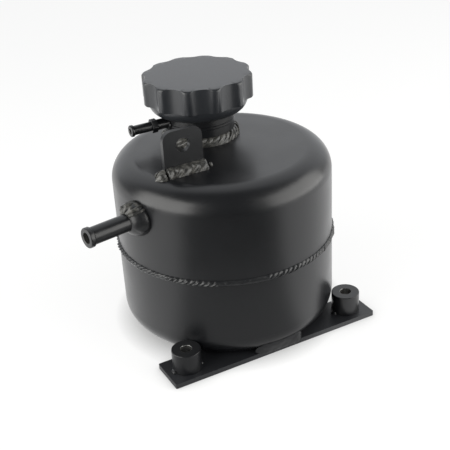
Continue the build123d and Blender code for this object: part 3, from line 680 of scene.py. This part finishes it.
def capLevels():
    # the height of each ring of edges, and its radius as a function of the angle
    levels = [(capHigh.z, lambda a: cap["lobe"] - cap["round"] - cap["topInset"])]
    for step in range(cap["levels"]):
        turn = math.radians(step * 90 / (cap["levels"] - 1))
        outline = cap["lobe"] - cap["round"] * (1 - math.sin(turn))
        height = capHigh.z - cap["round"] * (1 - math.cos(turn))
        levels.append((height, lambda a, r=outline: lobeRadius(a, r)))
    levels.append((cap["underLobe"] + cap["underRound"], lambda a: lobeRadius(a, cap["lobe"])))
    levels.append((cap["underLobe"], lambda a: lobeRadius(a, cap["lobe"] - cap["underRound"])))
    levels.append((cap["underLobe"], lambda a: cap["skirtTop"] - cap["undercut"]))
    for step in range(1, cap["levels"] + 1):
        share = step / cap["levels"]
        bulge = cap["skirtBulge"] * math.sin(math.pi * share)
        radius = cap["skirtTop"] + (cap["skirtFoot"] - cap["skirtTop"]) * share + bulge
        height = cap["underLobe"] + (capLow.z - cap["underLobe"]) * share - bulge
        levels.append((max(height, capLow.z), lambda a, r=radius: r))
    for height, radius in ((capLow.z, cap["bore"] + cap["boreChamfer"]),
                           (capLow.z + cap["boreChamfer"], cap["bore"]), (cap["roof"], cap["bore"]),
                           (cap["roof"], cap["hub"]), (cap["hubFoot"], cap["hub"]),
                           (cap["hubFoot"], cap["stud"]), (cap["studTop"], cap["stud"])):
        levels.append((height, lambda a, r=radius: r))
    return levels


def angleOf(vert, centre):
    return math.degrees(math.atan2(vert.co.y - centre.y, vert.co.x - centre.x))


lid = bmesh.new()
ring = bmesh.ops.create_circle(lid, segments=cap["lobes"] * cap["perLobe"], radius=1)["verts"]
edges = lid.edges[:]
angles = {v: angleOf(v, Vector()) for v in ring}
rows = capLevels()
for number, (height, radius) in enumerate(rows):
    if number:
        drawn = bmesh.ops.extrude_edge_only(lid, edges=edges)["geom"]
        edges = [g for g in drawn if isinstance(g, bmesh.types.BMEdge)]
        ring = [g for g in drawn if isinstance(g, bmesh.types.BMVert)]
        angles = {v: angleOf(v, neckAxis * mm) for v in ring}
    for v in ring:
        v.co = (neckAxis + outward(angles[v]) * radius(angles[v]) + upward * height) * mm
    if number in (0, len(rows) - 1):
        bmesh.ops.contextual_create(lid, geom=edges)
ridge = [(cap["threadRoot"], -cap["threadFoot"]), (-cap["threadDepth"], -cap["threadCrest"]),
         (-cap["threadDepth"], cap["threadCrest"]), (cap["threadRoot"], cap["threadFoot"])]
threadVerts = [lid.verts.new((neckAxis + Vector((cap["bore"] + x, 0, cap["threadStart"] + z))) * mm)
               for x, z in ridge]
bmesh.ops.spin(lid, geom=[lid.faces.new(threadVerts)], cent=neckAxis * mm, axis=upward,
               dvec=upward * cap["pitch"] * mm / cap["threadSteps"], angle=math.tau * cap["threadTurns"],
               steps=cap["threadSteps"] * cap["threadTurns"], use_duplicate=False)
finishPiece(lid, "screwCap", "black_anodised", "cap", ["filler_cap"])
print("cap turned")

# CAD pieces that stay as they are and take a finish
kept = {"black_coat": ["upper_shell", "lower_shell", "filler_neck", "overflow_boss", "vent_bung"],
        "seal_rubber": ["cap_gasket", "pressure_gasket", "vacuum_poppet"],
        "stainless_steel": ["swivel_stud", "valve_cup", "pressure_plate", "vacuum_clip"],
        "valve_brass": ["seal_retainer"]}
for slot, nodes in kept.items():
    for name in nodes:
        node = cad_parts[name]
        if not node.material_slots:
            node.data.materials.append(looks[slot])
        for place in node.material_slots:
            place.material = looks[slot]
print("CAD pieces finished")

# In the real cap the two springs shorten as their valves open, the pressure spring upwards and the vacuum
# spring downwards; here each is copied from its CAD node, takes the spring wire look and rides with its
# valve's body
springs = [{"node": "pressure_spring", "name": "pressureCoil", "body": "valve_cartridge",
            "joint": "pressure_relief", "stroke": 2.5, "fixedEnd": 1},
           {"node": "vacuum_spring", "name": "vacuumCoil", "body": "pressure_valve",
            "joint": "vacuum_relief", "stroke": 1.2, "fixedEnd": 0}]
for spring in springs:
    node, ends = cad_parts[spring["node"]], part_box(spring["node"])
    coil = bpy.data.objects.new(spring["name"], node.data.copy())
    coil.data.materials.clear()
    coil.data.materials.append(looks["spring_steel"])
    bpy.context.scene.collection.objects.link(coil)
    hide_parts(spring["node"])
    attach(coil, spring["body"])
    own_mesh(coil)
print("springs coiled")

# Studio: a pale table, a white room that is darker overhead and behind the camera, and two tall
# softboxes at the sides. Directions are (turn from the strip's front towards +X, height). The sizes of
# the table and the softboxes and their distances are in metres.
studio = {"floorSize": 4.0, "floor": "#f2f2f0", "seen": 0.72, "glow": 1.1, "contact": 14,
          "contactDepth": 0.75, "room": 0.5, "roomTint": "#f7f9fc", "roomBright": 1.15, "roomDark": 0.16,
          "brightSide": (155, 30), "brightSpan": (38, 68), "frontSide": -22, "frontSpan": (34, 53),
          "frontDark": 0.12, "nearDark": 0.52, "nearSpan": (150, 190), "floorBright": 1.2}
softboxes = [{"name": "leftSoftbox", "turn": -88, "distance": 0.62, "width": 0.72, "height": 0.58,
              "lift": 0.005, "level": 4.0, "tint": "#fffefb"},
             {"name": "rightSoftbox", "turn": 52, "distance": 0.62, "width": 0.86, "height": 0.58,
              "lift": 0.005, "level": 3.3, "tint": "#fffefb"}]


def towards(turn, height=0):
    turn, height = math.radians(turn), math.radians(height)
    return Vector((math.sin(turn) * math.cos(height), -math.cos(turn) * math.cos(height), math.sin(height)))


def seenDirectly(tree, ray):
    # 1 for rays from the camera and for those that pass through something
    return addNode(tree, "ShaderNodeMath", {"operation": "MAXIMUM"},
                   {0: ray.outputs["Is Camera Ray"], 1: ray.outputs["Is Transmission Ray"]}).outputs[0]


def lightRoom():
    world = bpy.data.worlds.new("studioRoom")
    bpy.context.scene.world = world
    tree = emptyTree(world)
    ray = addNode(tree, "ShaderNodeLightPath")
    direction = addNode(tree, "ShaderNodeTexCoord").outputs["Generated"]
    facing = addNode(tree, "ShaderNodeVectorMath",
                     {"operation": "DOT_PRODUCT", 1: towards(*studio["brightSide"])}, {0: direction})
    near, far = (math.cos(math.radians(a)) for a in studio["brightSpan"])
    mirrored = addNode(tree, "ShaderNodeMapRange", {"interpolation_type": "SMOOTHSTEP", "From Min": far,
                                                    "From Max": near, "To Min": studio["roomDark"],
                                                    "To Max": studio["roomBright"]},
                       {"Value": facing.outputs["Value"]})
    glossy = addNode(tree, "ShaderNodeMix", {"A": studio["room"]},
                     {"Factor": ray.outputs["Is Glossy Ray"], "B": mirrored.outputs[0]})
    seen = seenDirectly(tree, ray)
    level = addNode(tree, "ShaderNodeMix", {"B": 1.0}, {"Factor": seen, "A": glossy.outputs[0]})
    background = addNode(tree, "ShaderNodeBackground", None,
                         {"Strength": level.outputs[0],
                          "Color": blend(tree, seen, studio["roomTint"], "#ffffff")})
    addNode(tree, "ShaderNodeOutputWorld", None, {"Surface": background.outputs[0]})


def floorLook():
    # Matt white paper. The camera sees it near white, with a painted soft shadow where things stand on it,
    # made by ambient occlusion darkening its glow; a mirror on the object sees a painted glow instead,
    # darker towards the front, as in a studio.
    look = bpy.data.materials.new("whitePaper")
    tree = emptyTree(look)
    ray = addNode(tree, "ShaderNodeLightPath")
    paper = addNode(tree, "ShaderNodeBsdfDiffuse", {"Color": hexColor(studio["floor"])})
    # painted shadow: ambient occlusion darkens the paper's glow close around the object
    contactShadowAO = addNode(tree, "ShaderNodeAmbientOcclusion", {"samples": 16, "Distance": studio["contact"] * mm})
    shade = remap(tree, contactShadowAO.outputs["AO"], 1 - studio["contactDepth"], studio["glow"], start=0, end=1)
    glow = addNode(tree, "ShaderNodeEmission", None, {"Strength": shade})
    seen = addNode(tree, "ShaderNodeMixShader", {"Fac": studio["seen"]},
                   {1: paper.outputs[0], 2: glow.outputs[0]})
    place = addNode(tree, "ShaderNodeTexCoord").outputs["Object"]
    flat = addNode(tree, "ShaderNodeVectorMath", {"operation": "SUBTRACT", 1: tankAxis * mm}, {0: place})
    unit = addNode(tree, "ShaderNodeVectorMath", {"operation": "NORMALIZE"}, {0: flat.outputs[0]})
    facing = addNode(tree, "ShaderNodeVectorMath",
                     {"operation": "DOT_PRODUCT", 1: towards(studio["frontSide"])}, {0: unit.outputs[0]})
    reach = addNode(tree, "ShaderNodeVectorMath", {"operation": "LENGTH"}, {0: flat.outputs[0]})
    close, apart = (distance * mm for distance in studio["nearSpan"])
    dark = addNode(tree, "ShaderNodeMapRange", {"interpolation_type": "SMOOTHSTEP", "From Min": close,
                                                "From Max": apart, "To Min": studio["nearDark"],
                                                "To Max": studio["frontDark"]},
                   {"Value": reach.outputs["Value"]})
    near, far = (math.cos(math.radians(a)) for a in studio["frontSpan"])
    front = addNode(tree, "ShaderNodeMapRange", {"interpolation_type": "SMOOTHSTEP", "From Min": far,
                                                 "From Max": near, "To Min": studio["floorBright"]},
                    {"Value": facing.outputs["Value"], "To Max": dark.outputs[0]})
    mirrored = addNode(tree, "ShaderNodeEmission", None, {"Strength": front.outputs[0]})
    glossy = addNode(tree, "ShaderNodeMixShader", None, {"Fac": ray.outputs["Is Glossy Ray"],
                                                         1: paper.outputs[0], 2: mirrored.outputs[0]})
    whole = addNode(tree, "ShaderNodeMixShader", None, {"Fac": seenDirectly(tree, ray), 1: glossy.outputs[0],
                                                        2: seen.outputs[0]})
    addNode(tree, "ShaderNodeOutputMaterial", None, {"Surface": whole.outputs[0]})
    return look


def layFloor():
    table = bmesh.new()
    bmesh.ops.create_circle(table, cap_ends=True, segments=64, radius=studio["floorSize"])
    data = bpy.data.meshes.new("studioFloor")
    table.to_mesh(data)
    table.free()
    data.materials.append(floorLook())
    floor = bpy.data.objects.new("studioFloor", data)
    bpy.context.scene.collection.objects.link(floor)


def hangSoftbox(box):
    lamp = bpy.data.lights.new(box["name"], "AREA")
    lamp.shape, lamp.size, lamp.size_y = "RECTANGLE", box["width"], box["height"]
    lamp.color = hexColor(box["tint"])[:3]
    lamp.energy = box["level"] * math.pi * box["width"] * box["height"]        # level is its brightness
    holder = bpy.data.objects.new(box["name"], lamp)
    middle = upward * (box["height"] / 2 + box["lift"])
    place = tankAxis * mm + towards(box["turn"]) * box["distance"] + middle
    aim = (Vector((tankAxis.x * mm, tankAxis.y * mm, place.z)) - place).to_track_quat("-Z", "Y")
    holder.matrix_world = Matrix.LocRotScale(place, aim, None)
    holder.visible_camera = False
    bpy.context.scene.collection.objects.link(holder)


lightRoom()
layFloor()
for box in softboxes:
    hangSoftbox(box)

# Camera at the photograph's angle: turned 27.1 degrees, 28 degrees down, tilted 3.5 degrees
camera = {"place": (-232.3, -403.9, 328.0), "turn": 27.14, "down": 28.02, "tilt": -3.5, "lens": 75.31,
          "sensor": 36}
turn, down, tilt = (math.radians(camera[key]) for key in ("turn", "down", "tilt"))
level = Vector((math.cos(turn), -math.sin(turn), 0))
forward = Vector((math.sin(turn) * math.cos(down), math.cos(turn) * math.cos(down), -math.sin(down)))
above = level.cross(forward)
across = level * math.cos(tilt) + above * math.sin(tilt)
above = above * math.cos(tilt) - level * math.sin(tilt)
eye = bpy.data.cameras.new("camera")
eye.lens, eye.sensor_width = camera["lens"], camera["sensor"]
eyeObject = bpy.data.objects.new("camera", eye)
eyeObject.matrix_world = Matrix.Translation(Vector(camera["place"]) * mm) @ Matrix(
    (across, above, -forward)).transposed().to_4x4()
bpy.context.scene.collection.objects.link(eyeObject)
bpy.context.scene.camera = eyeObject
bpy.context.scene.view_settings.view_transform = "Standard"
print("studio lit, camera set")
